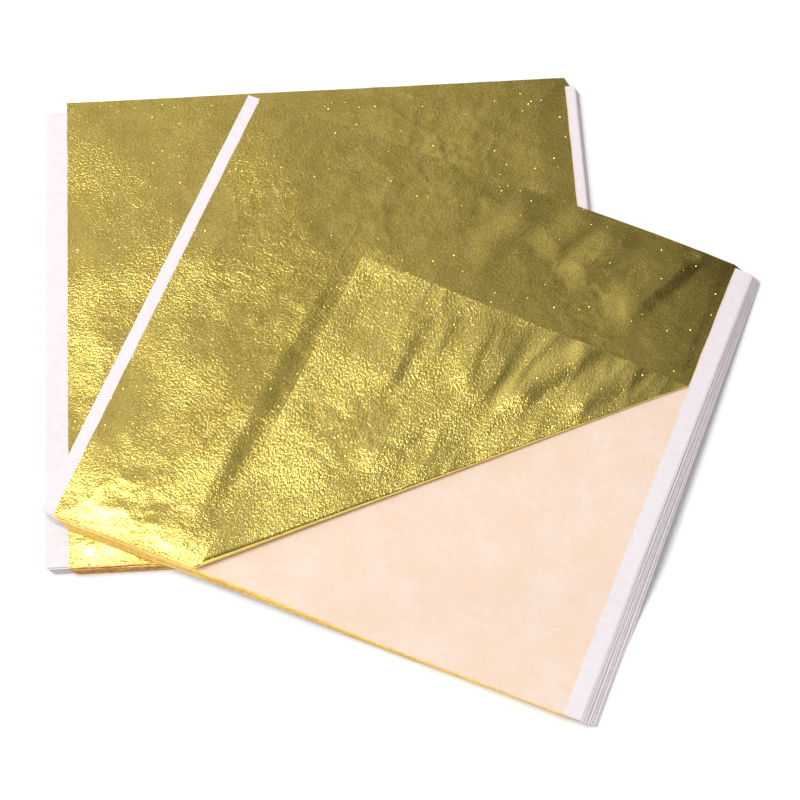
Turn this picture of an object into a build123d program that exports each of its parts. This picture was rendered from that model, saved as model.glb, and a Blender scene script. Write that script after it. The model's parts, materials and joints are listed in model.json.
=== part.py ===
"""Two loose packs of beaten metal leaf, one lying turned across the other.

Each pack is a pile of square leaves with a sheet of tissue paper under every leaf. The lower pack
lies flat. The upper pack lies across it, droops off its right and front edges, and has the near
right corner of its top leaf turned back in a soft tapered roll, which bares the tissue below.

Lengths are in millimetres and angles in degrees. X runs to the right and Y to the back of the
lower pack, and Z runs up from the surface that it lies on. The origin is the middle of the
lower pack's underside.
"""

import os
from math import atan2, cos, degrees, hypot, pi, radians, sin, sqrt

from build123d import *

# One leaf and one sheet of tissue, both cut less deep in the upper pack
leaf_width = 140.0
lower_leaf_depth = 140.0
upper_leaf_depth = 136.0
leaf_thickness = 0.04
tissue_width = 148.4
lower_tissue_depth = 136.5
upper_tissue_depth = 135.0
tissue_thickness = 0.08

# The pile of a pack
leaves_per_pack = 25
sheets_per_node = 2
air_in_pack = 0.016
air_under_loose_sheet = 0.05

# How far the tissue's left edge lies outside that of the leaf above it, and its front edge inside
lower_left_margin = 5.9
lower_front_inset = 0.6
upper_left_margin = 3.5
upper_front_inset = 0.2

# How untidily the sheets lie: a slip that grows towards the bottom sheet, and a small scatter
lower_slip_right = 1.5
upper_slip_right = 3.3
upper_slip_back = 0.3
upper_fan_angle = 0.8
scatter = 0.3
scatter_angle = 0.12
scatter_step_angle = 137.5

# Where the upper pack lies on the lower one, from middle to middle
upper_right = 18.8
upper_back = -24.9
upper_angle = -25.3

# How the upper pack droops past the lower one
support_margin = 0.4
right_reach = 45.0
front_reach = 32.0

# The turned-back corner of the top leaf
fold_along_front = 101.4
fold_along_side = 96.1
roll_opening_front = 2.6
roll_opening_side = 0.3
roll_spans_on_level = 2
roll_spans_in_droop = 4
longest_level_share = 0.9
fold_clearance = 0.1

# Sizes that follow from those above
pitch = tissue_thickness + leaf_thickness + 2 * air_in_pack
loose_gap_extra = air_under_loose_sheet - air_in_pack
pack_height = leaves_per_pack * pitch - air_in_pack + 2 * loose_gap_extra
upper_floor = pack_height + air_under_loose_sheet
lower_right_edge = max(leaf_width / 2, tissue_width - leaf_width / 2 - lower_left_margin)
support_right = lower_right_edge + lower_slip_right + scatter + support_margin
support_front = -(lower_leaf_depth / 2 + scatter + support_margin)
blank_reach = leaf_width + upper_leaf_depth
droop = upper_floor

os.makedirs("parts", exist_ok=True)


def depth_share(number):
    """How deep a sheet lies in its pack: 0 for the top pair of sheets and 1 for the bottom pair."""
    return (leaves_per_pack - number) / (leaves_per_pack - 1)


def wander_share(number, phase):
    """An uneven but repeatable value between -1 and 1 for each sheet, and 0 for the top pair."""
    if number == leaves_per_pack:
        return 0
    return sin(radians(scatter_step_angle * (number + phase)))


def level_in_pack(number, is_leaf):
    """Height of a sheet's underside above the pack's own underside."""
    level = (number - 1) * pitch
    if is_leaf:
        level += tissue_thickness + air_in_pack
    if number == leaves_per_pack:
        level += loose_gap_extra
        if is_leaf:
            level += loose_gap_extra
    return level


def lower_plane(number, is_leaf):
    """The plane of one sheet of the lower pack."""
    slip = lower_slip_right * depth_share(number) + scatter * wander_share(number, 0)
    back = scatter * wander_share(number, 1)
    turn = radians(scatter_angle * wander_share(number, 2))
    return Plane(
        origin=(slip, back, level_in_pack(number, is_leaf)),
        x_dir=(cos(turn), sin(turn), 0),
        z_dir=(0, 0, 1),
    )


def upper_plane(number):
    """The plane on the ground under one sheet of the upper pack."""
    pack = radians(upper_angle)
    slip = upper_slip_right * depth_share(number) + scatter * wander_share(number, 0)
    back = upper_slip_back * depth_share(number) + scatter * wander_share(number, 1)
    fan = upper_fan_angle * depth_share(number) + scatter_angle * wander_share(number, 2)
    turn = pack + radians(fan)
    return Plane(
        origin=(
            upper_right + slip * cos(pack) - back * sin(pack),
            upper_back + slip * sin(pack) + back * cos(pack),
            0,
        ),
        x_dir=(cos(turn), sin(turn), 0),
        z_dir=(0, 0, 1),
    )


def tissue_middle(tissue_size, leaf_size, left_margin, front_inset):
    """The middle of a tissue sheet, measured from the middle of the leaf above it."""
    return (
        tissue_size[0] / 2 - leaf_size[0] / 2 - left_margin,
        tissue_size[1] / 2 - leaf_size[1] / 2 + front_inset,
    )


def flat_sheet(plane, size, middle, thickness):
    """A sheet that lies flat."""
    with BuildPart() as sheet:
        with BuildSketch(plane) as outline:
            with Locations(middle):
                Rectangle(*size)
        extrude(amount=thickness)
    return sheet.part


def space_under_drape(level):
    """All that lies under a drooping surface whose flat middle is at the given level."""
    bottom = level - 2 * droop
    with BuildPart() as space:
        # Off the right edge it falls in one long arc, and only its far tip reaches the ground
        with BuildSketch(Plane.XZ) as seen_from_front:
            with BuildLine():
                flat = Line((-blank_reach, level), (support_right, level))
                fall = TangentArc(
                    (support_right, level),
                    (support_right + right_reach, level - droop),
                    tangent=(1, 0),
                )
                Polyline(
                    fall @ 1,
                    (blank_reach, level - droop),
                    (blank_reach, bottom),
                    (-blank_reach, bottom),
                    flat @ 0,
                )
            make_face()
        extrude(amount=blank_reach, both=True)
        # Off the front edge it falls in an S of two arcs and then lies on the ground
        with BuildSketch(Plane.YZ) as seen_from_right:
            with BuildLine():
                flat = Line((blank_reach, level), (support_front, level))
                brow = TangentArc(
                    (support_front, level),
                    (support_front - front_reach / 2, level - droop / 2),
                    tangent=(-1, 0),
                )
                foot = TangentArc(
                    brow @ 1,
                    (support_front - front_reach, level - droop),
                    tangent=brow % 1,
                )
                Polyline(
                    foot @ 1,
                    (-blank_reach, level - droop),
                    (-blank_reach, bottom),
                    (blank_reach, bottom),
                    flat @ 0,
                )
            make_face()
        extrude(amount=blank_reach, both=True, mode=Mode.INTERSECT)
    return space.part


def draped_blank(thickness):
    """A drooping sheet of the given thickness that reaches past every outline cut from it."""
    with BuildPart() as blank:
        add(space_under_drape(thickness))
        add(space_under_drape(0), mode=Mode.SUBTRACT)
    return blank.part


def draped_sheet(plane, blank, level, corners):
    """A sheet with the given corners, cut from a drooping blank that is raised to its level."""
    with BuildPart() as sheet:
        with BuildSketch(plane) as outline:
            with BuildLine():
                Polyline(*corners, close=True)
            make_face()
        extrude(amount=level + pack_height)
        add(blank.moved(Location((0, 0, level))), mode=Mode.INTERSECT)
    return sheet.part


def corners_of(size, middle):
    """The corners of a sheet in its own plane, from the back left and clockwise."""
    half_width = size[0] / 2
    half_depth = size[1] / 2
    return [
        (middle[0] - half_width, middle[1] + half_depth),
        (middle[0] + half_width, middle[1] + half_depth),
        (middle[0] + half_width, middle[1] - half_depth),
        (middle[0] - half_width, middle[1] - half_depth),
    ]


def save(part, node):
    """Name one sub-part and write it to its own file."""
    part.label = node
    export_step(part, "parts/" + node + ".step")


lower_leaf_size = (leaf_width, lower_leaf_depth)
upper_leaf_size = (leaf_width, upper_leaf_depth)
lower_tissue_size = (tissue_width, lower_tissue_depth)
upper_tissue_size = (tissue_width, upper_tissue_depth)
lower_tissue_middle = tissue_middle(
    lower_tissue_size, lower_leaf_size, lower_left_margin, lower_front_inset
)
upper_tissue_middle = tissue_middle(
    upper_tissue_size, upper_leaf_size, upper_left_margin, upper_front_inset
)
leaf_blank = draped_blank(leaf_thickness)
tissue_blank = draped_blank(tissue_thickness)


def lower_sheet(number, is_leaf):
    """One sheet of the lower pack."""
    plane = lower_plane(number, is_leaf)
    if is_leaf:
        return flat_sheet(plane, lower_leaf_size, (0, 0), leaf_thickness)
    return flat_sheet(plane, lower_tissue_size, lower_tissue_middle, tissue_thickness)


def upper_sheet(number, is_leaf):
    """One whole sheet of the upper pack."""
    plane = upper_plane(number)
    level = upper_floor + level_in_pack(number, is_leaf)
    if is_leaf:
        return draped_sheet(plane, leaf_blank, level, corners_of(upper_leaf_size, (0, 0)))
    corners = corners_of(upper_tissue_size, upper_tissue_middle)
    return draped_sheet(plane, tissue_blank, level, corners)


# The sheets under the top pair of each pack, a few of a kind to a node
for pack_name, make_sheet in (("lower", lower_sheet), ("upper", upper_sheet)):
    for kind, is_leaf in (("tissue", False), ("leaf", True)):
        for first in range(1, leaves_per_pack, sheets_per_node):
            last = min(first + sheets_per_node, leaves_per_pack) - 1
            with BuildPart() as sheets:
                for number in range(first, last + 1):
                    add(make_sheet(number, is_leaf))
            save(sheets.part, f"{pack_name}_{kind}_{first:02d}_{last:02d}")

# The top pair of the lower pack, and the top tissue of the upper pack
with BuildPart() as lower_tissue_top:
    add(lower_sheet(leaves_per_pack, False))
save(lower_tissue_top.part, "lower_tissue_top")

with BuildPart() as lower_leaf_top:
    add(lower_sheet(leaves_per_pack, True))
save(lower_leaf_top.part, "lower_leaf_top")

with BuildPart() as upper_tissue_top:
    add(upper_sheet(leaves_per_pack, False))
save(upper_tissue_top.part, "upper_tissue_top")

# The fold line of the top leaf, in the plane of that leaf
top_plane = upper_plane(leaves_per_pack)
top_level = upper_floor + level_in_pack(leaves_per_pack, True)
back_left, back_right, front_right, front_left = corners_of(upper_leaf_size, (0, 0))
fold_front = (front_right[0] - fold_along_front, front_right[1])
fold_side = (front_right[0], front_right[1] + fold_along_side)
fold_length = hypot(fold_along_front, fold_along_side)
along = (fold_along_front / fold_length, fold_along_side / fold_length)
outward = (along[1], -along[0])

# The part of the top leaf that still lies flat
with BuildPart() as upper_leaf_top:
    add(
        draped_sheet(
            top_plane,
            leaf_blank,
            top_level,
            [back_left, back_right, fold_side, fold_front, front_left],
        )
    )
save(upper_leaf_top.part, "upper_leaf_top")


def roll_opening(share):
    """Height between the leaf and its turned-back corner, at a share of the fold from the front."""
    return roll_opening_front + (roll_opening_side - roll_opening_front) * share


def fold_point(distance, out):
    """A point of the top leaf's plane, by its distance along the fold and outward from it."""
    return (
        fold_front[0] + along[0] * distance + outward[0] * out,
        fold_front[1] + along[1] * distance + outward[1] * out,
    )


def droop_at(x):
    """How far the surface has fallen off the lower pack's right edge at x."""
    past = max(x - support_right, 0)
    radius = (right_reach**2 + droop**2) / (2 * droop)
    return radius - sqrt(radius**2 - past**2)


# Paper that goes into the roll draws the turned-back corner in, towards the fold
corner_distance = fold_along_front * along[0]
corner_out = fold_along_front * along[1]
corner_share = corner_distance / fold_length
paper_in_roll = pi / 2 * (roll_opening(corner_share) + leaf_thickness)
corner_tip = fold_point(corner_distance, paper_in_roll - corner_out)

# The leaf's two edges run on round the roll, each of them aslant
front_lean = pi / 2 * along[0] / along[1]
slip_front = front_lean * roll_opening_front
slip_side = -pi / 2 * roll_opening_side * along[1] / along[0]
corner_level = top_level + leaf_thickness + roll_opening_side

# The turned-back corner, tilted about its far edge so that it rises to the top of the roll
with BuildPart() as upper_leaf_corner:
    add(
        draped_sheet(
            top_plane,
            leaf_blank,
            corner_level,
            [
                fold_point(slip_front, -fold_clearance),
                fold_point(fold_length + slip_side, -fold_clearance),
                corner_tip,
            ],
        )
    )
hinge_tip = top_plane.from_local_coords(Vector(*corner_tip, corner_level))
hinge_side = top_plane.from_local_coords(Vector(*fold_side, corner_level))
tilt_axis = Axis(hinge_tip, hinge_side - hinge_tip)
raised_point = top_plane.from_local_coords(Vector(*fold_front, corner_level))
tilt_arm = (raised_point - tilt_axis.position).cross(tilt_axis.direction).length
tilt = degrees(atan2(roll_opening_front - roll_opening_side, tilt_arm))
upper_leaf_corner.part = upper_leaf_corner.part.rotate(tilt_axis, -tilt)
save(upper_leaf_corner.part, "upper_leaf_corner")

# The roll between them: a half tube that tapers along the fold and follows the droop
out_direction = top_plane.x_dir * outward[0] + top_plane.y_dir * outward[1]
along_direction = top_plane.x_dir * along[0] + top_plane.y_dir * along[1]
roll_foot = top_plane.from_local_coords(Vector(*fold_front, top_level))
level_run = (support_right - roll_foot.X) / along_direction.X
level_run = min(max(level_run, 0), fold_length * longest_level_share)
span_on_level = level_run / roll_spans_on_level
span_in_droop = (fold_length - level_run) / roll_spans_in_droop

# Where each half ring of the roll stands along the fold, and how much it leans. The side end is so
# low that its ring stands upright, half way between the two ends of the leaf's slanting edge
stations = [(0, front_lean)]
stations += [(span_on_level * span, 0) for span in range(1, roll_spans_on_level)]
stations += [(level_run + span_in_droop * span, 0) for span in range(roll_spans_in_droop)]
stations += [(fold_length + slip_side / 2, 0)]


def half_ellipse(radius, stretch):
    """Half a ring of the roll, stretched along Y in its own plane because it leans."""
    return EllipticalCenterArc((0, 0), radius, radius * stretch, -90, arc_size=180)


with BuildPart() as upper_leaf_fold:
    for distance, lean in stations:
        hollow_radius = roll_opening(distance / fold_length) / 2
        rim_radius = hollow_radius + leaf_thickness
        rise = Vector(0, 0, 1) + along_direction * lean
        on_level = roll_foot + along_direction * distance
        middle = on_level - Vector(0, 0, droop_at(on_level.X)) + rise * rim_radius
        ring_plane = Plane(origin=middle, x_dir=out_direction, z_dir=out_direction.cross(rise))
        with BuildSketch(ring_plane) as ring:
            with BuildLine():
                rim = half_ellipse(rim_radius, rise.length)
                hollow = half_ellipse(hollow_radius, rise.length)
                Line(rim @ 0, hollow @ 0)
                Line(rim @ 1, hollow @ 1)
            make_face()
    loft(ruled=True)
save(upper_leaf_fold.part, "upper_leaf_fold")
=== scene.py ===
"""Two loose packs of metal leaf interleaved with tissue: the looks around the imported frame.

Every sheet of the frame is replaced by a fine wavy sheet with the same outline, level and droop.
Lengths are in metres. The texture map of a leaf holds its own flat coordinates in millimetres, and
that of a tissue the flat coordinates of the leaf that lies under it.
"""

import json
import math

import bmesh
import bpy
import numpy as np
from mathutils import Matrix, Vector


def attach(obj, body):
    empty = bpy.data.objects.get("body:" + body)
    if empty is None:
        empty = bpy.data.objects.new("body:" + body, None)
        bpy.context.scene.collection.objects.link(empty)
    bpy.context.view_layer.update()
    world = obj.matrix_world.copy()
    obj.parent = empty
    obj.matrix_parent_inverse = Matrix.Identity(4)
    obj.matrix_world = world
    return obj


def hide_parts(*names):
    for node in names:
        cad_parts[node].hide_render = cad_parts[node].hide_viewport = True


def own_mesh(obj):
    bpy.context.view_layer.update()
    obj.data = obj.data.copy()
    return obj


MM = 0.001

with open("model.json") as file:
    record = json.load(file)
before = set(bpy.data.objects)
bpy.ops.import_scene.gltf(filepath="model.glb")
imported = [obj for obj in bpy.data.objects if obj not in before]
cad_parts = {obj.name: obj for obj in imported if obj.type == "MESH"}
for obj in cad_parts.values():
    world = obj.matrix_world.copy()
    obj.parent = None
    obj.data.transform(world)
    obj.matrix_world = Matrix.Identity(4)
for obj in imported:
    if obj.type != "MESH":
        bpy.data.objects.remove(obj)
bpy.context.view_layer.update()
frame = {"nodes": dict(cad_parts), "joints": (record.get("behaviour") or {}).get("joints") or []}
nodes = frame["nodes"]
joints = {joint["name"]: joint for joint in frame["joints"]}

# How the upper pack droops past the right and front edges of the lower one, as in the CAD
RIGHT_REACH = 45 * MM
FRONT_REACH = 32 * MM

# Thickness of the sheets and turn of the upper pack, as in the CAD
LEAF_THICKNESS = 0.04 * MM
TISSUE_THICKNESS = 0.08 * MM
UPPER_TURN = math.radians(-25.3)

# Mesh steps of sheets seen close, seen in part and hidden in a pile
FINE_CELL = 0.5 * MM
MIDDLE_CELL = 1.4 * MM
COARSE_CELL = 3.0 * MM

# How far apart points of a CAD solid may lie to count as one point, or as one level
WELD = 0.002 * MM
FLAT_TOLERANCE = 0.001 * MM

PERLIN_CELLS = 64


def perlin(u, v, lump, seed):
    """Smooth noise of about -0.7 to 0.7 whose lumps have the given size."""
    angles = np.random.default_rng(seed).uniform(0, 2 * math.pi, (PERLIN_CELLS, PERLIN_CELLS))
    across, along = u / lump, v / lump
    left, below = np.floor(across).astype(int), np.floor(along).astype(int)
    s, t = across - left, along - below
    ease_s = s**3 * (s * (6 * s - 15) + 10)
    ease_t = t**3 * (t * (6 * t - 15) + 10)

    def slope(step_s, step_t):
        angle = angles[(left + step_s) % PERLIN_CELLS, (below + step_t) % PERLIN_CELLS]
        return np.cos(angle) * (s - step_s) + np.sin(angle) * (t - step_t)

    low = slope(0, 0) + ease_s * (slope(1, 0) - slope(0, 0))
    high = slope(0, 1) + ease_s * (slope(1, 1) - slope(0, 1))
    return low + ease_t * (high - low)


def smooth(share):
    """A share from 0 to 1, eased at both ends."""
    share = np.clip(share, 0, 1)
    return share * share * (3 - 2 * share)


def solids_of(node):
    """The welded points of each solid of a CAD node."""
    mesh = bmesh.new()
    mesh.from_mesh(nodes[node].data)
    bmesh.ops.remove_doubles(mesh, verts=mesh.verts, dist=WELD)
    unseen = set(mesh.verts)
    solids = []
    while unseen:
        growing = [unseen.pop()]
        found = list(growing)
        while growing:
            vertex = growing.pop()
            for edge in vertex.link_edges:
                other = edge.other_vert(vertex)
                if other in unseen:
                    unseen.remove(other)
                    growing.append(other)
                    found.append(other)
        solids.append(np.array([vertex.co for vertex in found]))
    mesh.free()
    return sorted(solids, key=lambda points: points[:, 2].max())


def plan_corners(points, turn):
    """The four plan corners of a sheet, from the back left and clockwise."""
    u = points[:, 0] * math.cos(turn) + points[:, 1] * math.sin(turn)
    v = -points[:, 0] * math.sin(turn) + points[:, 1] * math.cos(turn)
    picks = [np.argmax(v - u), np.argmax(v + u), np.argmax(u - v), np.argmax(-u - v)]
    return points[picks, :2]


class Sheet:
    """One flat sheet: its plan corners, the level of its top and the pack that it lies in."""

    def __init__(self, corners, level, pack, number):
        self.corners = corners
        self.level = level
        self.pack = pack
        self.number = number
        self.middle = corners.mean(0)
        self.width = np.linalg.norm(corners[1] - corners[0])
        self.depth = np.linalg.norm(corners[0] - corners[3])
        self.across = (corners[1] - corners[0]) / self.width
        self.back = (corners[0] - corners[3]) / self.depth

    def flat(self, x, y):
        """Flat coordinates of points of the plan, measured from the middle of this sheet."""
        dx, dy = x - self.middle[0], y - self.middle[1]
        return dx * self.across[0] + dy * self.across[1], dx * self.back[0] + dy * self.back[1]

    def plan(self, u, v):
        """The reverse of flat."""
        return (
            self.middle[0] + u * self.across[0] + v * self.back[0],
            self.middle[1] + u * self.across[1] + v * self.back[1],
        )


def sheets_of(pack, kind):
    """All the sheets of one kind in a pack, by their number from the bottom."""
    turn = UPPER_TURN if pack == "upper" else 0
    found = {}
    for node in sorted(nodes):
        words = node.split("_")
        if words[:2] != [pack, kind] or not words[2].isdigit():
            continue
        for number, points in zip((int(words[2]), int(words[3])), solids_of(node)):
            found[number] = Sheet(plan_corners(points, turn), points[:, 2].max(), pack, number)
    return found


leaves = {pack: sheets_of(pack, "leaf") for pack in ("lower", "upper")}
tissues = {pack: sheets_of(pack, "tissue") for pack in ("lower", "upper")}
TOP = max(leaves["lower"]) + 1
for pack, turn in (("lower", 0), ("upper", UPPER_TURN)):
    points = solids_of(f"{pack}_tissue_top")[0]
    tissues[pack][TOP] = Sheet(plan_corners(points, turn), points[:, 2].max(), pack, TOP)

points = solids_of("lower_leaf_top")[0]
leaves["lower"][TOP] = Sheet(plan_corners(points, 0), points[:, 2].max(), "lower", TOP)

# The top leaf of the upper pack lacks its turned corner, which is made up from the other three
points = solids_of("upper_leaf_top")[0]
outline = plan_corners(points, UPPER_TURN)
outline[2] = outline[1] + outline[3] - outline[0]
leaves["upper"][TOP] = Sheet(outline, points[:, 2].max(), "upper", TOP)

# Where the lower pack stops holding the upper one up
flat_points = points[points[:, 2] > points[:, 2].max() - FLAT_TOLERANCE]
SUPPORT_RIGHT = flat_points[:, 0].max()
SUPPORT_FRONT = flat_points[:, 1].min()
DROOP = tissues["upper"][1].level - TISSUE_THICKNESS
LOWER_HEIGHT = leaves["lower"][TOP].level
UPPER_HEIGHT = leaves["upper"][TOP].level - DROOP


def fall_right(x):
    """How far a sheet has fallen at x, past the lower pack's right edge, in one arc."""
    radius = (RIGHT_REACH**2 + DROOP**2) / (2 * DROOP)
    past = np.clip(x - SUPPORT_RIGHT, 0, RIGHT_REACH)
    return radius - np.sqrt(radius**2 - past**2)


def fall_front(y):
    """How far a sheet has fallen at y, past the lower pack's front edge, in an S of two arcs."""
    half_run, half_fall = FRONT_REACH / 2, DROOP / 2
    radius = (half_run**2 + half_fall**2) / (2 * half_fall)
    past = np.clip(SUPPORT_FRONT - y, 0, FRONT_REACH)
    brow = radius - np.sqrt(radius**2 - np.minimum(past, half_run) ** 2)
    foot = radius - np.sqrt(radius**2 - np.minimum(FRONT_REACH - past, half_run) ** 2)
    return np.where(past < half_run, brow, DROOP - foot)


def drape(x, y):
    """How far the upper pack's sheets have fallen."""
    return np.maximum(fall_right(x), fall_front(y))


# The fold of the upper pack's top leaf, from the joint that unfolds it. Its radius shrinks evenly
# along the fold
top_leaf = leaves["upper"][TOP]
hinge = joints["corner_unfold"]
hinge_place = np.array(hinge["pos_m"])
hinge_axis = np.array(hinge["axis"])
hinge_run = math.hypot(*hinge_axis[:2])
along_plan = hinge_axis[:2] / hinge_run
outward_plan = np.array([along_plan[1], -along_plan[0]])
radius_start = hinge_place[2] - (top_leaf.level - LEAF_THICKNESS / 2)
radius_slope = hinge_axis[2] / hinge_run


def fold_place(x, y):
    """Distance along the fold and outward from it, of points of the flat leaf's plan."""
    dx, dy = x - hinge_place[0], y - hinge_place[1]
    return dx * along_plan[0] + dy * along_plan[1], dx * outward_plan[0] + dy * outward_plan[1]


def roll_radius(along):
    """Radius of the roll at a distance along the fold."""
    return np.maximum(radius_start + radius_slope * along, LEAF_THICKNESS)


# Where the fold meets the leaf's right edge, and where the turned corner's tip comes to lie
corner_along, corner_out = fold_place(*top_leaf.corners[2])
back_along, back_out = fold_place(*top_leaf.corners[1])
crossing = corner_out / (corner_out - back_out)
side_along = corner_along + crossing * (back_along - corner_along)
tip = np.array([corner_along, math.pi * roll_radius(corner_along) - corner_out])

# The turned corner's plane falls from the near end of the fold to the corner's far edge
FLAP_HIGH = 2 * roll_radius(0.0)
FLAP_LOW = 2 * roll_radius(side_along)
far_edge = np.array([side_along, 0.0]) - tip
across_edge = np.array([-far_edge[1], far_edge[0]])
across_edge = across_edge / (-tip @ across_edge)


def turned_edge(x, y):
    """Share along the turned corner's left edge, and distance to its left, of plan points."""
    along, out = fold_place(x, y)
    length = math.hypot(*tip)
    share = (along * tip[0] + out * tip[1]) / length**2
    left = (along * tip[1] - out * tip[0]) / length
    return share, left


# The turned corner's left edge presses the pack down: how deep, how wide to each side, and over
# which shares of the edge the hollow grows and fades
PRESS_DEPTH = 0.34 * MM
PRESS_LEFT = 6.5 * MM
PRESS_RIGHT = 30 * MM
PRESS_GROWTH = 0.3
PRESS_END = 1.05
PRESS_FADE = 0.25


def pressed(x, y):
    """The hollow along the left edge of the turned corner."""
    share, left = turned_edge(x, y)
    near = np.where(left > 0, smooth(1 - left / PRESS_LEFT), smooth(1 + left / PRESS_RIGHT))
    growth, fade = smooth(share / PRESS_GROWTH), smooth((PRESS_END - share) / PRESS_FADE)
    return PRESS_DEPTH * near * growth * fade


# Lone creases: how far and over which distance they waver, and how they start and end, as shares
WAVER = 0.8 * MM
WAVER_LUMP = 7 * MM
WAVER_SEED = 61
CREASE_END = 0.3
CREASE_START = 0.1


def creases(x, y, lines):
    """Lone creases, each given by its ends, its reach to the right and left, and its height."""
    total = np.zeros_like(x)
    for start, end, right, left, height in lines:
        run_x, run_y = (end[0] - start[0]) * MM, (end[1] - start[1]) * MM
        length = math.hypot(run_x, run_y)
        dx, dy = x - start[0] * MM, y - start[1] * MM
        share = (dx * run_x + dy * run_y) / length**2
        aside = (dy * run_x - dx * run_y) / length + WAVER * perlin(x, y, WAVER_LUMP, WAVER_SEED)
        on_left, on_right = smooth(1 - aside / (left * MM)), smooth(1 + aside / (right * MM))
        total += (
            height
            * MM
            * np.where(aside > 0, on_left, on_right)
            * smooth(share / CREASE_END + CREASE_START)
            * smooth((1 - share) / CREASE_END + CREASE_START)
        )
    return total


# Slow waves of a pile: how high and how long they are
LOWER_WAVE = 0.28 * MM
UPPER_WAVE = 0.34 * MM
LONG_WAVE = 46 * MM
SHORT_WAVE = 19 * MM
SHORT_SHARE = 0.35
LOWER_WAVE_SEED = 11
UPPER_WAVE_SEED = 23


def pile_wave(x, y, seed):
    """The slow waves of a pile's top."""
    return perlin(x, y, LONG_WAVE, seed) + SHORT_SHARE * perlin(x, y, SHORT_WAVE, seed + 1)


def surface(sheet, x, y):
    """Height of a sheet's top at points of the plan."""
    lower_wave = LOWER_WAVE * pile_wave(x, y, LOWER_WAVE_SEED)
    if sheet.pack == "lower":
        return sheet.level + lower_wave * (sheet.level / LOWER_HEIGHT)
    fallen = drape(x, y)
    share = (sheet.level - DROOP) / UPPER_HEIGHT
    held = 1 - fallen / DROOP
    upper_wave = UPPER_WAVE * pile_wave(x, y, UPPER_WAVE_SEED)
    wave = (1 - share) * held * lower_wave + share * (upper_wave - pressed(x, y))
    return sheet.level - fallen + wave


# Crumpling of a leaf: the sizes and heights of its wrinkles, which are drawn out along one
# direction. A mesh carries only wrinkles of a few cells
WRINKLES = (
    (18 * MM, 0.12 * MM),
    (8 * MM, 0.06 * MM),
    (3.8 * MM, 0.038 * MM),
    (1.8 * MM, 0.024 * MM),
)
FINEST_IN_CELLS = 2.6
DRAWN_OUT = 1.15
GRAIN_TURN = math.radians(12)

# Its small sharp ridges
RIDGE_LUMP = 12 * MM
RIDGE_HEIGHT = 0.03 * MM
RIDGE_SHARPNESS = 6
RIDGE_SEED = 9

# Its calm places: their size and contrast, and the strength of the crumpling in and outside them
CALM_LUMP = 55 * MM
CALM_CONTRAST = 1.3
CALM_STRENGTH = 0.35
ROUGH_STRENGTH = 0.8
CALM_SEED = 12

# How far a crumpled leaf stands above the CAD's level, and how far in from the rim it lies closer
TOP_LEAF_RISE = 0.12 * MM
INNER_LEAF_RISE = 0.012 * MM
RIM_REACH = 9 * MM
RIM_STRENGTH = 0.45


def wrinkles(u, v, seed, cell):
    """The crumpled surface of a leaf, in its own flat coordinates."""
    along = (u * math.cos(GRAIN_TURN) + v * math.sin(GRAIN_TURN)) / DRAWN_OUT
    side = -u * math.sin(GRAIN_TURN) + v * math.cos(GRAIN_TURN)
    total = np.zeros_like(u)
    for step, (lump, height) in enumerate(WRINKLES):
        if lump > FINEST_IN_CELLS * cell:
            total += height * perlin(along, side, lump, seed + step)
    ridge = 1 - RIDGE_SHARPNESS * np.abs(perlin(along, side, RIDGE_LUMP, seed + RIDGE_SEED))
    total += RIDGE_HEIGHT * np.clip(ridge, 0, 1) ** 2
    calm = smooth(0.5 + CALM_CONTRAST * perlin(u, v, CALM_LUMP, seed + CALM_SEED))
    return total * (CALM_STRENGTH + ROUGH_STRENGTH * calm)


def inside_rim(sheet, u, v):
    """0 at the rim of a sheet and 1 well inside it."""
    return smooth(np.minimum(sheet.width / 2 - np.abs(u), sheet.depth / 2 - np.abs(v)) / RIM_REACH)


# Width of the outermost strip of a sheet's mesh, and how much thicker a leaf is made at its front
# and back rims, where bare leaves cling together
RIM = 0.3 * MM
RIM_BEAD = 0.10 * MM

# Material numbers of a sheet's mesh
TOP_SIDE, UNDER_SIDE, CUT_EDGE = 0, 1, 2


def spread(half, cell):
    """Even steps from side to side, with one more line close to each side."""
    steps = np.linspace(-half, half, int(round(2 * half / cell)) + 1)
    return np.concatenate([[-half, RIM - half], steps[1:-1], [half - RIM, half]])


def grid(sheet, cell):
    """Flat coordinates of a grid over a sheet, and the count of its points each way."""
    steps_u, steps_v = spread(sheet.width / 2, cell), spread(sheet.depth / 2, cell)
    u, v = np.meshgrid(steps_u, steps_v, indexing="ij")
    return u, v, len(steps_u), len(steps_v)


def quads_of(count_u, count_v):
    """The quads of a grid of points, as rows of four indices, seen anticlockwise from above."""
    index = np.arange(count_u * count_v).reshape(count_u, count_v)
    return np.stack(
        [index[:-1, :-1], index[1:, :-1], index[1:, 1:], index[:-1, 1:]], -1
    ).reshape(-1, 4)


def faces_of(count_u, count_v):
    """The material number of each quad of a sheet's top. Its front rim counts as a cut edge."""
    slots = np.full((count_u - 1, count_v - 1), TOP_SIDE)
    slots[:, 0] = CUT_EDGE
    return slots.ravel()


def rim_of(count_u, count_v):
    """The indices of a grid's rim, anticlockwise."""
    index = np.arange(count_u * count_v).reshape(count_u, count_v)
    return np.concatenate([index[:-1, 0], index[-1, :-1], index[:0:-1, -1], index[0, :0:-1]])


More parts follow.
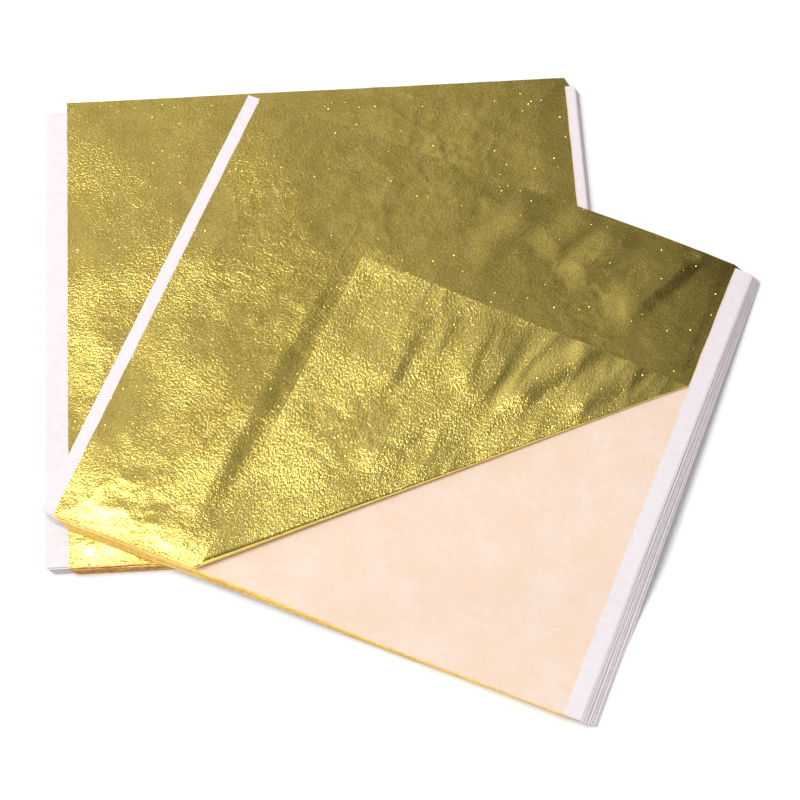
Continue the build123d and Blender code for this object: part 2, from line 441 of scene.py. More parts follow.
class Mesh:
    """Points, quads, texture coordinates and material numbers that grow into one object."""

    def __init__(self):
        self.points, self.quads, self.uvs, self.slots = [], [], [], []
        self.count = 0

    def add_sheet(self, top, thickness, uv, count_u, count_v):
        """Add a closed thin sheet with these points as its top, and a thickness at each."""
        size = len(top)
        bottom = top.copy()
        bottom[:, 2] -= thickness
        quads = quads_of(count_u, count_v)
        rim = rim_of(count_u, count_v)
        next_rim = np.roll(rim, -1)
        side = np.stack([rim, rim + size, next_rim + size, next_rim], -1)
        self.points += [top, bottom]
        self.uvs += [uv, uv]
        self.quads += [quads + self.count, quads[:, ::-1] + size + self.count, side + self.count]
        faces = faces_of(count_u, count_v)
        self.slots += [faces, np.maximum(faces, UNDER_SIDE), np.full(len(side), CUT_EDGE)]
        self.count += 2 * size

    def make(self, name, materials):
        """Make the Blender object."""
        points = np.concatenate(self.points)
        quads = np.concatenate(self.quads)
        uvs = np.concatenate(self.uvs)
        mesh = bpy.data.meshes.new(name)
        mesh.vertices.add(len(points))
        mesh.vertices.foreach_set("co", points.astype(np.float32).ravel())
        mesh.loops.add(quads.size)
        mesh.loops.foreach_set("vertex_index", quads.ravel())
        mesh.polygons.add(len(quads))
        mesh.polygons.foreach_set("loop_start", np.arange(len(quads)) * 4)
        mesh.polygons.foreach_set("material_index", np.concatenate(self.slots).astype(int))
        layer = mesh.uv_layers.new(name="UVMap")
        layer.data.foreach_set("uv", uvs[quads.ravel()].astype(np.float32).ravel())
        mesh.update(calc_edges=True)
        mesh.validate()
        return finish_object(name, mesh, materials)


SHARP_ANGLE = math.radians(50)


def finish_object(name, mesh, materials):
    """Shade a mesh smoothly but for its rims, and put it in the scene."""
    for material in materials:
        mesh.materials.append(material)
    mesh.shade_smooth()
    mesh.set_sharp_from_angle(angle=SHARP_ANGLE)
    piece = bpy.data.objects.new(name, mesh)
    bpy.context.scene.collection.objects.link(piece)
    return piece


# How ragged the edges of a sheet are, in its own plane, and how far that reaches in
RAGGED = 0.16 * MM
RAGGED_LUMP = 7 * MM
RAGGED_DEPTH = 6 * MM
DRAWN_IN = 0.3


def ragged(sheet, u, v, seed):
    """Push a sheet's edges in and out a little."""
    near_u = smooth(1 - (sheet.width / 2 - np.abs(u)) / RAGGED_DEPTH)
    near_v = smooth(1 - (sheet.depth / 2 - np.abs(v)) / RAGGED_DEPTH)
    new_u = u + RAGGED * near_u * (perlin(v, u * 0, RAGGED_LUMP, seed) - DRAWN_IN) * np.sign(u)
    new_v = v + RAGGED * near_v * (perlin(u, v * 0, RAGGED_LUMP, seed + 1) - DRAWN_IN) * np.sign(v)
    return new_u, new_v


def leaf_relief(sheet, u, v, cell, seed):
    """The crumpling of a leaf that lies on top, weaker at its rim."""
    inside = inside_rim(sheet, u, v)
    relief = wrinkles(u, v, seed, cell) * (RIM_STRENGTH + (1 - RIM_STRENGTH) * inside)
    return relief + TOP_LEAF_RISE * inside


# How far the back edge of the lower pack's top leaf bows in
BACK_BOW = 1.2 * MM


def leaf_points(sheet, cell, amount, seed):
    """The top, thickness and texture coordinates of a whole leaf, and its points each way.

    The amount is the strength of the crumpling of a leaf inside a pile.
    """
    u, v, count_u, count_v = grid(sheet, cell)
    new_u, new_v = ragged(sheet, u, v, seed)
    if sheet.pack == "lower" and sheet.number == TOP:
        share = 2 * u / sheet.width
        new_v = new_v - BACK_BOW * (1 - share**2) * smooth(v / sheet.depth + 0.5) ** 3
    x, y = sheet.plan(new_u, new_v)
    if sheet.number == TOP:
        z = surface(sheet, x, y) + leaf_relief(sheet, u, v, cell, seed)
    else:
        z = surface(sheet, x, y) + amount * wrinkles(u, v, seed, cell) + INNER_LEAF_RISE
    at_rim = np.abs(v).ravel() > sheet.depth / 2 - RIM / 2
    thickness = LEAF_THICKNESS + RIM_BEAD * at_rim
    top = np.stack([x, y, z], -1).reshape(-1, 3)
    uv = np.stack([u, v], -1).reshape(-1, 2) / MM
    return top, thickness, uv, count_u, count_v


# Added to the texture coordinates of a tissue with no leaf under it
UNDER_NOTHING = 1000

# Crumpling of a tissue: its height, the size of its lumps, and its strength inside a pile
TISSUE_CRUMPLE = 0.03 * MM
TISSUE_LUMP = 5 * MM
TISSUE_IN_PILE = 0.25

# The bare margins of a pile of tissues cling to each other, so they are made a little thicker
MARGIN_FILL = 0.06 * MM
MARGIN_BLEND = 1.0 * MM


def tissue_points(sheet, under, cell, seed):
    """The same for a tissue, with the flat coordinates of the leaf under it as its texture map."""
    u, v, count_u, count_v = grid(sheet, cell)
    new_u, new_v = ragged(sheet, u, v, seed)
    x, y = sheet.plan((u + new_u) / 2, (v + new_v) / 2)
    loose = 1.0 if sheet.number == TOP else TISSUE_IN_PILE
    crumple = loose * (TISSUE_CRUMPLE * perlin(u, v, TISSUE_LUMP, seed) - TISSUE_CRUMPLE / 2)
    z = surface(sheet, x, y) + crumple
    top = np.stack([x, y, z], -1).reshape(-1, 3)
    if under is None:
        uv = np.stack([u / MM + UNDER_NOTHING, v / MM], -1)
        thickness = np.full(len(top), TISSUE_THICKNESS)
    else:
        leaf_u, leaf_v = under.flat(x, y)
        uv = np.stack([leaf_u, leaf_v], -1) / MM
        past = np.maximum(np.abs(leaf_u) - under.width / 2, np.abs(leaf_v) - under.depth / 2)
        thickness = TISSUE_THICKNESS + MARGIN_FILL * smooth(past / MARGIN_BLEND).ravel()
    return top, thickness, uv.reshape(-1, 2), count_u, count_v


def node_maker(tree):
    """A short way to add shader nodes to a tree, with their inputs linked or set."""

    def node(kind, inputs=(), **settings):
        made = tree.nodes.new("ShaderNode" + kind)
        for setting, value in settings.items():
            setattr(made, setting, value)
        for socket, value in dict(inputs).items():
            if isinstance(value, bpy.types.NodeSocket):
                tree.links.new(value, made.inputs[socket])
            else:
                made.inputs[socket].default_value = value
        return made

    return node


def new_material(name):
    """A material with its principled shader, and a short way to add nodes to it."""
    material = bpy.data.materials.new(name)
    material.use_nodes = True
    tree = material.node_tree
    return material, tree, tree.nodes["Principled BSDF"], node_maker(tree)


def stretched(node, vector, turn, scale):
    """Texture coordinates turned and stretched, for a grain with a direction."""
    return node(
        "Mapping",
        {"Vector": vector, "Rotation": (0, 0, math.radians(turn)), "Scale": scale},
    ).outputs[0]


def noise(node, vector, scale, detail=2.0, roughness=0.5):
    """A noise texture's value."""
    inputs = {"Vector": vector, "Scale": scale, "Detail": detail, "Roughness": roughness}
    return node("TexNoise", inputs).outputs["Fac"]


def ramp(node, value, low, high, to_low=0.0, to_high=1.0):
    """A value mapped smoothly from one range to another."""
    made = node(
        "MapRange",
        {"Value": value, "From Min": low, "From Max": high, "To Min": to_low, "To Max": to_high},
        interpolation_type="SMOOTHSTEP",
    )
    return made.outputs["Result"]


def maths(node, operation, first, second=0.0, third=0.0):
    """One arithmetic step."""
    return node("Math", {0: first, 1: second, 2: third}, operation=operation).outputs[0]


def mix_colours(node, share, first, second):
    """A blend of two colours, which are the mix node's sockets 6 and 7, and its output 2."""
    return node("Mix", {0: share, 6: first, 7: second}, data_type="RGBA").outputs[2]


def scaled(node, vector, factor):
    """A vector or colour times a value."""
    return node("VectorMath", {0: vector, "Scale": factor}, operation="SCALE").outputs[0]


# Texture scales are in lumps per millimetre where the texture map is used
SLOW_SCALE = 0.035
PATCH_SCALE = 0.16
GREY_SCALE = 1.5
STREAK_SCALE = 1.35
STREAK_TURN, STREAK_STRETCH = 12, (0.9, 1.1, 1)
PEBBLE_SCALE = 2.6
PEBBLE_SHARE = 0.30

# What part of a noise's range counts, and what it is mapped to
PATCH_RANGE = (0.3, 0.7)
GREY_RANGE, GREY_CHANGE = (0.36, 0.62), (0.86, 1.04)
GLOSS_RANGE, GLOSS_CHANGE = (0.3, 0.7), (0.8, 1.25)
GRAIN_RANGE, GRAIN_CHANGE = (0.35, 0.65), (0.6, 1.2)

# Sparks of a leaf: cells per millimetre, and the size and lean of the facet in a chosen cell
SPARK_CELLS = 1.05
SPARK_SIZE = 0.135
SPARK_TILT = 0.40

# Where a leaf's grain grows from its front left corner and dies down to its back right one, by the
# sum of its flat coordinates in millimetres, and how strong it is at the front and in the middle
GRAIN_GROWS = (-105, -60)
GRAIN_FADES = (15, 60)
FRONT_GRAIN = 0.45
MIDDLE_GRAIN = 1.25


def leaf_material(name, dull, bright, roughness, grain, spark_share, back_grain):
    """Beaten brass leaf: crumpled, with a few tiny facets that flash."""
    material, tree, shader, node = new_material(name)
    flat = node("UVMap", uv_map="UVMap").outputs[0]
    slow = noise(node, flat, SLOW_SCALE, 3.0)
    patch = noise(node, flat, PATCH_SCALE, 4.0, 0.6)

    colour = mix_colours(node, ramp(node, patch, *PATCH_RANGE), dull, bright)
    grey = ramp(node, noise(node, flat, GREY_SCALE, 2.0, 0.65), *GREY_RANGE, *GREY_CHANGE)
    tree.links.new(scaled(node, colour, grey), shader.inputs["Base Color"])
    smoothest, roughest = (roughness * change for change in GLOSS_CHANGE)
    rough = ramp(node, slow, *GLOSS_RANGE, smoothest, roughest)
    tree.links.new(rough, shader.inputs["Roughness"])
    shader.inputs["Metallic"].default_value = 1.0

    # Sparks: in a few of the cells a small spot at the middle leans its own way
    cells = node("TexVoronoi", {"Vector": flat, "Scale": SPARK_CELLS}, feature="F1")
    pick = node("SeparateXYZ", {0: cells.outputs["Color"]})
    chosen = maths(node, "GREATER_THAN", pick.outputs[2], 1 - spark_share)
    near = maths(node, "LESS_THAN", cells.outputs["Distance"], SPARK_SIZE)
    lean = node(
        "VectorMath", {0: cells.outputs["Color"], 1: (0.5, 0.5, 0.5)}, operation="SUBTRACT"
    ).outputs[0]
    tilt = node(
        "VectorMath",
        {
            0: scaled(node, lean, maths(node, "MULTIPLY", chosen, near)),
            1: (SPARK_TILT, SPARK_TILT, 0),
            2: (0.5, 0.5, 1),
        },
        operation="MULTIPLY_ADD",
    )
    facets = node("NormalMap", {"Color": tilt.outputs[0]}, space="TANGENT", uv_map="UVMap")

    drawn = stretched(node, flat, STREAK_TURN, STREAK_STRETCH)
    streak = noise(node, drawn, STREAK_SCALE, 3.0, 0.58)
    pebble = noise(node, flat, PEBBLE_SCALE, 2.0, 0.6)
    height = maths(node, "MULTIPLY_ADD", pebble, PEBBLE_SHARE, streak)
    parts = node("SeparateXYZ", {0: flat})
    away = maths(node, "ADD", parts.outputs[0], parts.outputs[1])
    grows = ramp(node, away, *GRAIN_GROWS, FRONT_GRAIN, MIDDLE_GRAIN)
    fades = ramp(node, away, *GRAIN_FADES, 1.0, back_grain)
    uneven = ramp(node, slow, *GRAIN_RANGE, *GRAIN_CHANGE)
    strength = maths(node, "MULTIPLY", uneven, maths(node, "MULTIPLY", grows, fades))
    bump = node(
        "Bump",
        {
            "Height": maths(node, "MULTIPLY", height, strength),
            "Distance": grain,
            "Strength": 1.0,
            "Normal": facets.outputs[0],
        },
    )
    tree.links.new(bump.outputs[0], shader.inputs["Normal"])
    return material


# Streaks and specks of a pile's cut edges, per metre of the object
EDGE_STREAKS = (60, 60, 5200)
EDGE_SPECKS = 900
SPECK_SHARE = 0.6
SPECK_DEPTH = 0.08 * MM
EDGE_RANGE = (0.55, 1.0)


def edge_material(name, dark, light):
    """The cut edges of leaves, as streaks of light and brown gold, the brown partly painted shade.
    """
    material, tree, shader, node = new_material(name)
    spot = node("TexCoord").outputs["Object"]
    streak = noise(node, stretched(node, spot, 0, EDGE_STREAKS), 1.0, 3.0)
    speck = noise(node, spot, EDGE_SPECKS, 2.0)
    total = maths(node, "ADD", streak, maths(node, "MULTIPLY", speck, SPECK_SHARE))
    colour = mix_colours(node, ramp(node, total, *EDGE_RANGE), dark, light)
    tree.links.new(colour, shader.inputs["Base Color"])
    shader.inputs["Metallic"].default_value = 0.0
    shader.inputs["Roughness"].default_value = 0.35
    bump = node("Bump", {"Height": speck, "Distance": SPECK_DEPTH, "Strength": 1.0})
    tree.links.new(bump.outputs[0], shader.inputs["Normal"])
    return material


# Colours of a tissue over a leaf, where its peach is painted light of the gold shining through
# the thin tissue, and where nothing lies under it
TISSUE_GLOW_PEACH = ((0.80, 0.605, 0.465, 1), (0.82, 0.66, 0.555, 1))
TISSUE_WHITE = ((0.75, 0.69, 0.71, 1), (0.79, 0.735, 0.75, 1))
PEACH_RANGE = (0.45, 0.78)
WHITE_RANGE = (0.3, 0.7)

# How the painted glow frays and ends at the edge of the leaf, in millimetres
FRAY_SCALE = 1.1
FRAY_WIDTH = 0.5
TINT_ENDS = (-0.45, 0.35)

# Its clouds, mottling and fibres
CLOUD_SCALE, CLOUD_SHARE = 0.10, 0.7
MOTTLE_SCALE, MOTTLE_SHARE = 0.55, 0.5
FIBRE_SCALE = 3.0
FIBRE_TURN, FIBRE_STRETCH = 20, (1, 0.35, 1)
FIBRE_DEPTH = 0.012 * MM


def tissue_material(name, half_sizes):
    """White tissue, with the light of the leaf under it painted as a peach glow."""
    material, tree, shader, node = new_material(name)
    flat = node("UVMap", uv_map="UVMap").outputs[0]
    parts = node("SeparateXYZ", {0: flat})
    past_u, past_v = (
        maths(node, "SUBTRACT", maths(node, "ABSOLUTE", parts.outputs[axis]), half / MM)
        for axis, half in enumerate(half_sizes)
    )
    past = maths(node, "MAXIMUM", past_u, past_v)
    fray = maths(node, "SUBTRACT", noise(node, flat, FRAY_SCALE, 3.0), 0.5)
    frayed = maths(node, "ADD", past, maths(node, "MULTIPLY", fray, FRAY_WIDTH))
    # Painted light: over a leaf, the gold's light through the thin tissue is painted as a peach
    # tint
    glow_over_leaf = ramp(node, frayed, *TINT_ENDS, 1.0, 0.0)

    cloud = noise(node, flat, CLOUD_SCALE, 4.0, 0.6)
    mottle = noise(node, flat, MOTTLE_SCALE, 3.0, 0.6)
    cloud = maths(node, "MULTIPLY", cloud, CLOUD_SHARE)
    cloudy = maths(node, "MULTIPLY_ADD", mottle, MOTTLE_SHARE, cloud)
    peach = mix_colours(node, ramp(node, cloudy, *PEACH_RANGE), *TISSUE_GLOW_PEACH)
    white = mix_colours(node, ramp(node, mottle, *WHITE_RANGE), *TISSUE_WHITE)
    tree.links.new(mix_colours(node, glow_over_leaf, white, peach), shader.inputs["Base Color"])
    shader.inputs["Roughness"].default_value = 0.62
    shader.inputs["Specular IOR Level"].default_value = 0.25
    drawn = stretched(node, flat, FIBRE_TURN, FIBRE_STRETCH)
    fibre = noise(node, drawn, FIBRE_SCALE, 3.0, 0.6)
    height = maths(node, "MULTIPLY_ADD", mottle, MOTTLE_SHARE, fibre)
    bump = node("Bump", {"Height": height, "Distance": FIBRE_DEPTH, "Strength": 0.7})
    tree.links.new(bump.outputs[0], shader.inputs["Normal"])
    return material


leaf_front = leaf_material(
    "leaf_front",
    dull=(0.70, 0.53, 0.125, 1),
    bright=(0.81, 0.63, 0.165, 1),
    roughness=0.10,
    grain=0.07 * MM,
    spark_share=0.30,
    back_grain=0.5,
)
# The leaf's underside, seen on the turned corner: its lighter gold is partly its own tone and
# partly a painted highlight that brightens the turned corner against the leaf around it
leaf_back_and_painted_highlight = leaf_material(
    "leaf_back_and_painted_highlight",
    dull=(0.90, 0.70, 0.17, 1),
    bright=(0.98, 0.78, 0.21, 1),
    roughness=0.13,
    grain=0.12 * MM,
    spark_share=0.8,
    back_grain=0.9,
)
# Painted shade: the lower pack's edges are a much darker brown than the upper pack's
edges = {
    "lower": edge_material("lower_leaf_edge_painted_shade", (0.42, 0.16, 0.02, 1), (1.0, 0.66, 0.18, 1)),
    "upper": edge_material("upper_leaf_edge", (0.80, 0.47, 0.09, 1), (1.0, 0.74, 0.20, 1)),
}
leaf_materials, tissue_materials = {}, {}
for pack in ("lower", "upper"):
    top = leaves[pack][TOP]
    paper = tissue_material(f"tissue_over_{pack}_leaf", (top.width / 2, top.depth / 2))
    leaf_materials[pack] = [leaf_front, leaf_back_and_painted_highlight, edges[pack]]
    tissue_materials[pack] = [paper] * 3


def place(piece, body, slot, *stands_for):
    """Tie a piece to its body and hide the CAD nodes that it stands for.

    The slot, its finish, is not used.
    """
    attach(piece, body)
    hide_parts(*stands_for)


# Strength of the crumpling inside a pile: of the leaves that show when the top pair is lifted, and
# of the rest
EXPOSED_AMOUNT = 0.15
HIDDEN_AMOUNT = 0.1

# Each sheet is crumpled and made ragged from a seed of its own
SEED_STEP = 100
UPPER_SEED = 5000
TOP_TISSUE_SEED = 77
LOWER_TOP_LEAF_SEED = 7

# The sheets under the top pair of each pack, together by node as in the frame
for pack in ("lower", "upper"):
    for node in sorted(nodes):
        words = node.split("_")
        if words[0] != pack or not words[2].isdigit():
            continue
        kind = words[1]
        made = Mesh()
        for number in (int(words[2]), int(words[3])):
            seed = SEED_STEP * number + (0 if pack == "lower" else UPPER_SEED)
            exposed = number == TOP - 1
            if kind == "leaf":
                cell = MIDDLE_CELL if exposed else COARSE_CELL
                amount = EXPOSED_AMOUNT if exposed else HIDDEN_AMOUNT
                made.add_sheet(*leaf_points(leaves[pack][number], cell, amount, seed))
            else:
                sheet, under = tissues[pack][number], leaves[pack].get(number - 1)
                made.add_sheet(*tissue_points(sheet, under, COARSE_CELL, seed))
        materials = leaf_materials[pack] if kind == "leaf" else tissue_materials[pack]
        piece = made.make(f"{pack}_{kind}_sheets_{words[2]}_{words[3]}", materials)
        place(piece, f"{pack}_pack", kind, node)

# The top tissues, and the top leaf of the lower pack
for pack in ("lower", "upper"):
    made = Mesh()
    sheet, under = tissues[pack][TOP], leaves[pack][TOP - 1]
    made.add_sheet(*tissue_points(sheet, under, MIDDLE_CELL, TOP_TISSUE_SEED))
    piece = made.make(f"{pack}_top_tissue_sheet", tissue_materials[pack])
    place(piece, f"{pack}_top_tissue", "tissue", f"{pack}_tissue_top")

made = Mesh()
made.add_sheet(*leaf_points(leaves["lower"][TOP], FINE_CELL, 1.0, LOWER_TOP_LEAF_SEED))
piece = made.make("lower_top_leaf_sheet", leaf_materials["lower"])
place(piece, "lower_top_leaf", "leaf", "lower_leaf_top")


def folded(x, y):
    """Points of the flat top leaf after folding: their place, their rise and their turn."""
    along, out = fold_place(x, y)
    radius = roll_radius(along)
    round_roll = np.clip(out / radius, 0, math.pi)
    past_roll = np.maximum(out - math.pi * radius, 0)
    new_out = np.where(out > 0, radius * np.sin(round_roll) - past_roll, out)
    risen = radius * (1 - np.cos(round_roll))
    weight = (along - tip[0]) * across_edge[0] + (new_out - tip[1]) * across_edge[1]
    on_flap = FLAP_LOW + (FLAP_HIGH - FLAP_LOW) * np.clip(weight, 0, 1)
    risen = np.where(out >= math.pi * radius, on_flap, risen)
    new_x = hinge_place[0] + along * along_plan[0] + new_out * outward_plan[0]
    new_y = hinge_place[1] + along * along_plan[1] + new_out * outward_plan[1]
    return new_x, new_y, risen, round_roll


# How close to a cut a point may lie to count as on it
CUT_TOLERANCE = 1e-7


def cut(mesh, point, normal, keep_front):
    """Cut a flat mesh along a line, and keep one side of it."""
    geometry = mesh.verts[:] + mesh.edges[:] + mesh.faces[:]
    bmesh.ops.bisect_plane(
        mesh,
        geom=geometry,
        plane_co=(*point, 0),
        plane_no=(*normal, 0),
        clear_outer=not keep_front,
        clear_inner=keep_front,
        dist=CUT_TOLERANCE,
    )


def slice_along(mesh, point, normal):
    """Add a row of edges along a line."""
    geometry = mesh.verts[:] + mesh.edges[:] + mesh.faces[:]
    bmesh.ops.bisect_plane(
        mesh, geom=geometry, plane_co=(*point, 0), plane_no=(*normal, 0), dist=CUT_TOLERANCE
    )


def line_at_turn(turn):
    """A point and the outward normal of the flat leaf's line at this angle round the roll."""
    near = hinge_place[:2] + outward_plan * turn * roll_radius(0.0)
    far = hinge_place[:2] + along_plan * side_along
    far = far + outward_plan * turn * roll_radius(side_along)
    run = (far - near) / np.linalg.norm(far - near)
    return near, np.array([run[1], -run[0]])


# The upper pack's top leaf: the rows of faces round its roll, and the seed of its crumpling
ROLL_ROWS = 12
TOP_LEAF_SEED = 301

# How far the turned corner stands above its flat place, to clear its creases
FLAP_RISE = 0.34 * MM

# Its soft creases, drawn out along one direction, and where they grow from the left
FLAP_CREASE_TURN = math.radians(52)
FLAP_CREASE_LUMP = 27 * MM
FLAP_CREASE_HEIGHT = 0.55 * MM
FLAP_CREASE_DRAWN_OUT = 3.4
FLAP_FOLD_SHARE, FLAP_CREST_SHARE = 0.55, 0.25
FLAP_CREST_SHARPNESS = 5
FLAP_FOLD_SEED, FLAP_CREST_SEED = 401, 402
FLAP_CREASES_FROM = -5 * MM
FLAP_CREASES_GROW = 45 * MM

# Lone creases of the turned corner, in the plan, and of the flat leaf behind it, in its own flat
# coordinates: start, end, reach to the right, reach to the left and height, in millimetres
FLAP_LINES = (
    ((42, -34), (76, -14.5), 4.6, 6, 0.80),
    ((33, -27), (46.5, -3), 3.4, 8, 0.20),
    ((37, -34), (53, -10), 3.6, 7, 0.22),
    ((60, -37), (86, -21.5), 4.0, 7, 0.40),
    ((12, -28), (28, -1), 4.5, 8, 0.28),
    ((4, -49), (32, -30), 4.5, 9, 0.30),
)
BACK_LINES = (
    ((46, 38), (60.5, 70), 5.0, 10, 0.60),
    ((66.6, 24), (66.6, 68), 1.6, 3.2, 0.05),
    ((30, 44), (42, 66), 5.0, 9, 0.40),
    ((20, 50), (31, 69), 4.0, 8, 0.34),
    ((4, 40), (16, 64), 4.0, 9, 0.26),
)


def flap_creases(x, y):
    """The larger creases of the turned corner, at points of the plan."""
    run, rise = math.cos(FLAP_CREASE_TURN), math.sin(FLAP_CREASE_TURN)
    along = x * run + y * rise
    side = (-x * rise + y * run) * FLAP_CREASE_DRAWN_OUT
    fold = perlin(along, side, FLAP_CREASE_LUMP, FLAP_FOLD_SEED)
    crest = np.abs(perlin(along, side, FLAP_CREASE_LUMP, FLAP_CREST_SEED))
    crest = np.clip(1 - FLAP_CREST_SHARPNESS * crest, 0, 1)
    lumps = FLAP_CREASE_HEIGHT * (FLAP_FOLD_SHARE * fold + FLAP_CREST_SHARE * crest)
    return lumps * smooth((x - FLAP_CREASES_FROM) / FLAP_CREASES_GROW) + creases(x, y, FLAP_LINES)


def flat_leaf_mesh():
    """The whole top leaf as a grid in the plan, with its flat coordinates as its texture map."""
    u, v, count_u, count_v = grid(top_leaf, FINE_CELL)
    new_u, new_v = ragged(top_leaf, u, v, TOP_LEAF_SEED)
    x, y = top_leaf.plan(new_u, new_v)
    points = np.stack([x, y, np.zeros_like(x)], -1).reshape(-1, 3)
    made = Mesh()
    made.points, made.count = [points], len(points)
    made.quads = [quads_of(count_u, count_v)]
    made.uvs = [np.stack([u, v], -1).reshape(-1, 2) / MM]
    made.slots = [faces_of(count_u, count_v)]
    return made.make("flat_leaf", leaf_materials["upper"])


def bend(mesh):
    """Fold the flat mesh's points and crumple them. Returns the points of the bare flat rims."""
    layer = mesh.loops.layers.uv.active
    flat_of = {}
    for face in mesh.faces:
        for loop in face.loops:
            flat_of[loop.vert] = loop[layer].uv.copy()
    verts = list(mesh.verts)
    xy = np.array([vert.co[:2] for vert in verts])
    uv = np.array([flat_of[vert] for vert in verts]) * MM
    x, y, risen, turn = folded(xy[:, 0], xy[:, 1])
    facing = np.cos(turn)
    over = (1 - facing) / 2
    u, v = uv[:, 0], uv[:, 1]
    crumple = leaf_relief(top_leaf, u, v, FINE_CELL, TOP_LEAF_SEED) * facing
    crumple += creases(u, v, BACK_LINES) * (turn == 0)
    crumple += over * (flap_creases(x, y) * smooth(over * 2 - 1) + FLAP_RISE)
    z = surface(top_leaf, x, y) - LEAF_THICKNESS + risen + crumple
    for vert, spot in zip(verts, np.stack([x, y, z], -1)):
        vert.co = spot
    at_rim = (np.abs(v) > top_leaf.depth / 2 - RIM / 2) & (turn == 0)
    return {vert for vert, is_rim in zip(verts, at_rim) if is_rim}


def leaf_part(name, low_turn, high_turn):
    """One part of the folded top leaf, between two angles round the roll. None means no limit."""
    source = flat_leaf_mesh()
    mesh = bmesh.new()
    mesh.from_mesh(source.data)
    bpy.data.objects.remove(source)
    if low_turn is not None:
        cut(mesh, *line_at_turn(low_turn), keep_front=True)
    if high_turn is not None:
        cut(mesh, *line_at_turn(high_turn), keep_front=False)
    if low_turn is not None and high_turn is not None:
        for row in range(1, ROLL_ROWS):
            slice_along(mesh, *line_at_turn(math.pi * row / ROLL_ROWS))
    on_rim = bend(mesh)
    mesh.normal_update()
    # Close the sheet: a second side one leaf's thickness below the first, and a rim between them
    faces = mesh.faces[:]
    normals = {vert: vert.normal.copy() for vert in mesh.verts}
    copied = bmesh.ops.duplicate(mesh, geom=mesh.verts[:] + mesh.edges[:] + faces)
    twins = dict(copied["vert_map"].items())
    copied_faces = [item for item in copied["geom"] if isinstance(item, bmesh.types.BMFace)]
    layer = mesh.loops.layers.uv.active
    rims = [edge for face in faces for edge in face.edges if edge.is_boundary]
    for vert, normal in normals.items():
        twins[vert].co = vert.co
        if vert in on_rim:
            twins[vert].co.z -= RIM_BEAD
        vert.co = vert.co + normal * LEAF_THICKNESS
    for face in copied_faces:
        face.normal_flip()
        face.material_index = UNDER_SIDE
    for edge in rims:
        loop = edge.link_loops[0]
        first, second = loop.vert, loop.link_loop_next.vert
        face = mesh.faces.new((second, first, twins[first], twins[second]))
        face.material_index = CUT_EDGE
        face.smooth = True
        first_uv, second_uv = loop[layer].uv.copy(), loop.link_loop_next[layer].uv.copy()
        for corner, uv in zip(face.loops, (second_uv, first_uv, first_uv, second_uv)):
            corner[layer].uv = uv
    made = bpy.data.meshes.new(name)
    mesh.to_mesh(made)
    mesh.free()
    return finish_object(name, made, leaf_materials["upper"])


flat_part = leaf_part("upper_top_leaf_sheet", None, 0.0)
place(flat_part, "upper_top_leaf", "leaf", "upper_leaf_top")
roll_part = leaf_part("upper_top_leaf_roll", 0.0, math.pi)
place(roll_part, "upper_top_leaf", "leaf", "upper_leaf_fold")
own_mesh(roll_part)
corner_part = leaf_part("upper_top_leaf_corner", math.pi, None)
place(corner_part, "turned_corner", "leaf", "upper_leaf_corner")
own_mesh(corner_part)

# Floor
FLOOR_SIZE = 6.0
FLOOR_CELLS = 40
FLOOR_PALE = ((0.95, 0.95, 0.95, 1), (0.97, 0.97, 0.97, 1))


def floor():
    """A plain pale floor."""
    material, tree, shader, node = new_material("floor_paper")
    cloud = noise(node, node("TexCoord").outputs["Object"], 3.0, 3.0)
    tree.links.new(mix_colours(node, cloud, *FLOOR_PALE), shader.inputs["Base Color"])
    shader.inputs["Roughness"].default_value = 0.9
    shader.inputs["Specular IOR Level"].default_value = 0.1
    mesh = bmesh.new()
    bmesh.ops.create_grid(
        mesh, x_segments=FLOOR_CELLS, y_segments=FLOOR_CELLS, size=FLOOR_SIZE / 2
    )
    made = bpy.data.meshes.new("floor")
    mesh.to_mesh(made)
    mesh.free()
    piece = finish_object("floor", made, [material])


floor()

# Studio light: one large soft light, whose mirror image lies on the packs' near left
SOFTBOX_RADIANCE = 8.0
SOFTBOX_SIZE = (0.75, 0.79)
SOFTBOX_PLACE = Vector((-0.54, -0.01, 1.2))

scene = bpy.context.scene


def softbox():
    """A rectangular soft light that shines straight down."""
    light = bpy.data.lights.new("softbox", "AREA")
    light.shape = "RECTANGLE"
    light.size, light.size_y = SOFTBOX_SIZE
    light.energy = SOFTBOX_RADIANCE * (SOFTBOX_SIZE[0] * SOFTBOX_SIZE[1]) * math.pi
    light.color = (1, 1, 1)
    lamp = bpy.data.objects.new("softbox", light)
    lamp.location = SOFTBOX_PLACE
    lamp.rotation_mode = "QUATERNION"
    down = Vector((0, 0, -SOFTBOX_PLACE.z))
    lamp.rotation_quaternion = down.to_track_quat("-Z", "Y")
    scene.collection.objects.link(lamp)


softbox()

# The room's radiance, by the direction that it is seen in: across is x over z, and depth y over z
LOWEST_RISE = 0.15
LEAN_START, LEAN_DEPTH = 0.27, -0.6
TILT_DEPTH = -0.1
ROOM_RANGE, ROOM_RADIANCE = (-0.32, 0.20), (0.26, 0.75)
SHADE_RANGE, SHADE_LEAST = (-0.56, -0.40), 0.35
FAR_LEFT_RANGE, FAR_LEFT_LOSS = (0.6, 1.3), 0.25
FAR_RIGHT_RANGE, FAR_RIGHT_RADIANCE = (-1.1, -0.6), 0.85
CLOUD_CELLS, CLOUD_RANGE, CLOUD_CHANGE = 12.0, (0.34, 0.66), (0.4, 1.6)
HORIZON_RANGE, HORIZON_RADIANCE = (0.15, 0.45), 1.15


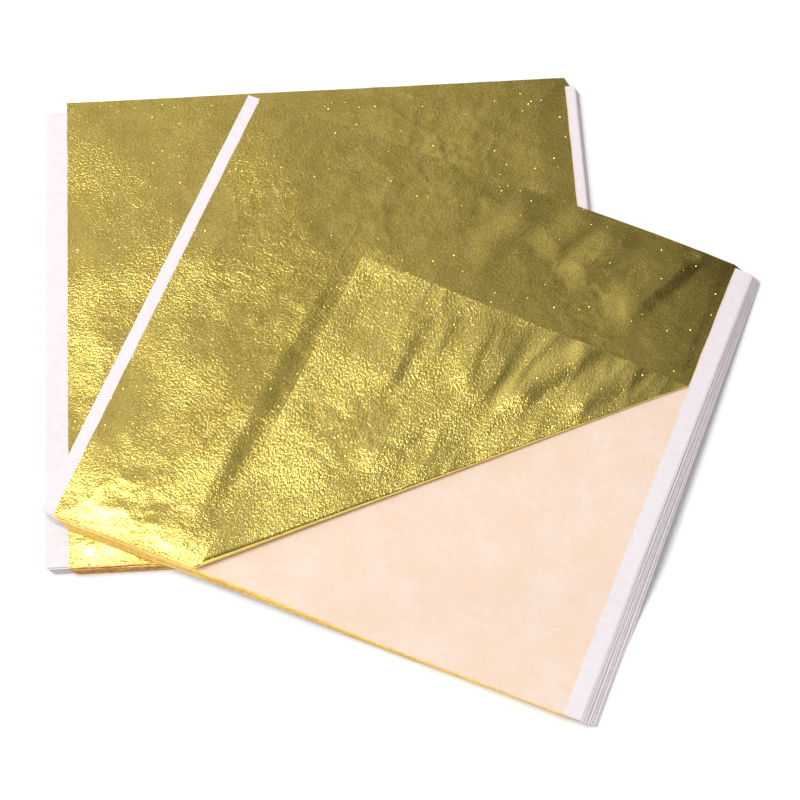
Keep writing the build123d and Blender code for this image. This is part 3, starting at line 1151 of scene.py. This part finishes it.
def studio_world():
    """A pale, softly uneven room, darker up on the right, which gives the leaf its contrast."""
    world = bpy.data.worlds.new("studio")
    scene.world = world
    world.use_nodes = True
    tree = world.node_tree
    background = tree.nodes["Background"]
    node = node_maker(tree)
    parts = node("SeparateXYZ", {0: node("TexCoord").outputs["Generated"]})
    rise = maths(node, "MAXIMUM", parts.outputs[2], LOWEST_RISE)
    across = maths(node, "DIVIDE", parts.outputs[0], rise)
    depth = maths(node, "DIVIDE", parts.outputs[1], rise)
    tilt = maths(node, "MULTIPLY_ADD", depth, TILT_DEPTH, maths(node, "MULTIPLY", across, -1.0))
    even = ramp(node, tilt, *ROOM_RANGE, *ROOM_RADIANCE)
    shaded = maths(node, "MULTIPLY", even, ramp(node, tilt, *SHADE_RANGE, SHADE_LEAST, 1.0))
    lean = maths(node, "SUBTRACT", LEAN_START, across)
    lean = maths(node, "MULTIPLY_ADD", depth, LEAN_DEPTH, lean)
    far_left = ramp(node, lean, *FAR_LEFT_RANGE, 0.0, FAR_LEFT_LOSS)
    far_right = ramp(node, lean, *FAR_RIGHT_RANGE, FAR_RIGHT_RADIANCE, 0.0)
    spot = node("CombineXYZ", {0: across, 1: depth}).outputs[0]
    cloud = ramp(node, noise(node, spot, CLOUD_CELLS, 2.0), *CLOUD_RANGE, *CLOUD_CHANGE)
    room = maths(node, "MULTIPLY", maths(node, "SUBTRACT", shaded, far_left), cloud)
    horizon = ramp(node, parts.outputs[2], *HORIZON_RANGE, HORIZON_RADIANCE, 0.0)
    radiance = maths(node, "MAXIMUM", maths(node, "MAXIMUM", room, far_right), horizon)
    tree.links.new(radiance, background.inputs["Strength"])
    background.inputs["Color"].default_value = (1, 1, 1, 1)


studio_world()

scene.view_settings.view_transform = "Standard"

# Camera, fitted to the packs' corners in the photograph. Its focal length is given against the
# width of the picture
CAMERA_AZIMUTH = math.radians(-3.43)
CAMERA_ELEVATION = math.radians(65.0)
CAMERA_DISTANCE = 0.6543
CAMERA_TARGET = Vector((0.01793, -0.0256, 0))
SENSOR = 36.0
FOCAL_SHARE = 2454 / 800

camera_data = bpy.data.cameras.new("camera")
camera_data.sensor_width = SENSOR
camera_data.lens = SENSOR * FOCAL_SHARE
camera_data.clip_start = 0.01
camera_data.clip_end = 20.0
camera = bpy.data.objects.new("camera", camera_data)
back_vector = Vector(
    (
        math.sin(CAMERA_AZIMUTH) * math.cos(CAMERA_ELEVATION),
        -math.cos(CAMERA_AZIMUTH) * math.cos(CAMERA_ELEVATION),
        math.sin(CAMERA_ELEVATION),
    )
)
camera.location = CAMERA_TARGET + back_vector * CAMERA_DISTANCE
camera.rotation_mode = "QUATERNION"
camera.rotation_quaternion = (-back_vector).to_track_quat("-Z", "Y")
scene.collection.objects.link(camera)
scene.camera = camera
